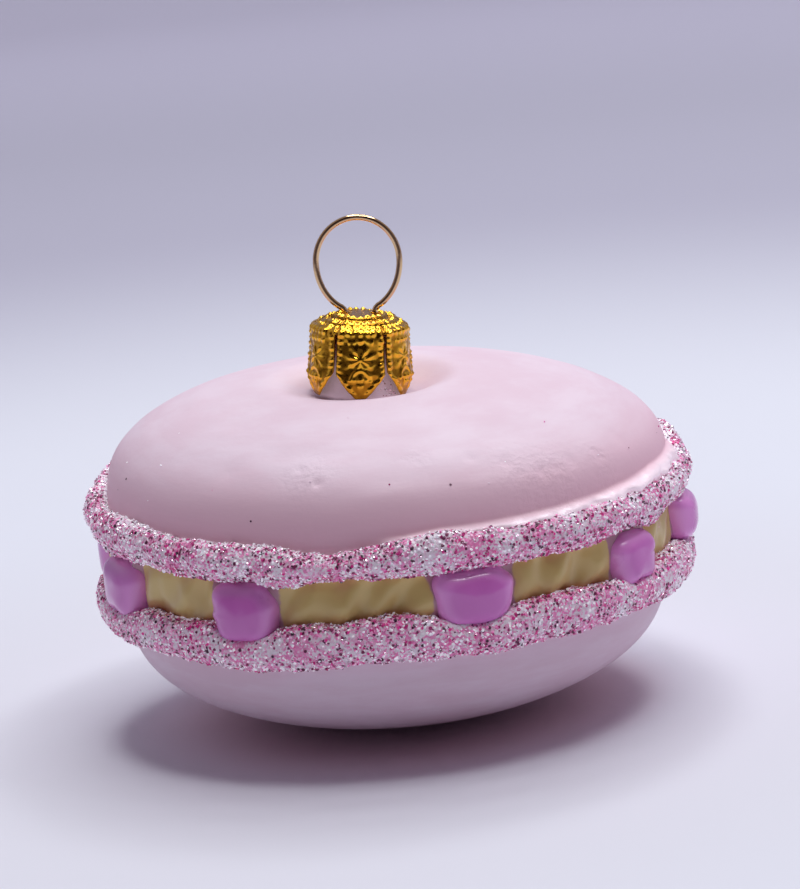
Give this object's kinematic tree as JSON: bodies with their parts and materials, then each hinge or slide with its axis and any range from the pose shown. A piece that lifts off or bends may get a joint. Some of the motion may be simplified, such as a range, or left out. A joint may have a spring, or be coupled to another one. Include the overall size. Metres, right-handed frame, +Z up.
{
  "type": "glass macaron christmas ornament",
  "caption": "Blown-glass hanging ornament in the shape of a filled macaron, with glitter feet, rounded lumps in the filling, a crown cap and a wire ring.",
  "frame": {"origin": "centre of the small flat spot that the ornament rests on", "axes": "+Z up along the body's axis, -Y towards the side that faces the viewer, +X to the viewer's right"},
  "size_m": [0.0805, 0.0796, 0.0666],
  "materials": {
    "painted_glass": "pale pink satin paint on glass",
    "glitter_crust": "coarse glitter in white, pink, magenta and dark plum on pink paint",
    "cream_paint": "semi-gloss cream and tan paint with brush relief",
    "lump_paint": "glossy purple enamel",
    "gold_metal": "bright gold-coloured stamped metal and polished wire"
  },
  "bodies": {
    "root": {"shell_bottom": "painted_glass", "foot_bottom": "glitter_crust", "filling": "cream_paint", "foot_top": "glitter_crust", "shell_top": "painted_glass", "lump_01": "lump_paint", "lump_02": "lump_paint", "lump_03": "lump_paint", "lump_04": "lump_paint", "lump_05": "lump_paint", "lump_06": "lump_paint", "lump_07": "lump_paint", "lump_08": "lump_paint", "lump_09": "lump_paint", "lump_10": "lump_paint", "cap": "gold_metal", "hanger_ring": "gold_metal"}
  },
  "joints": []
}
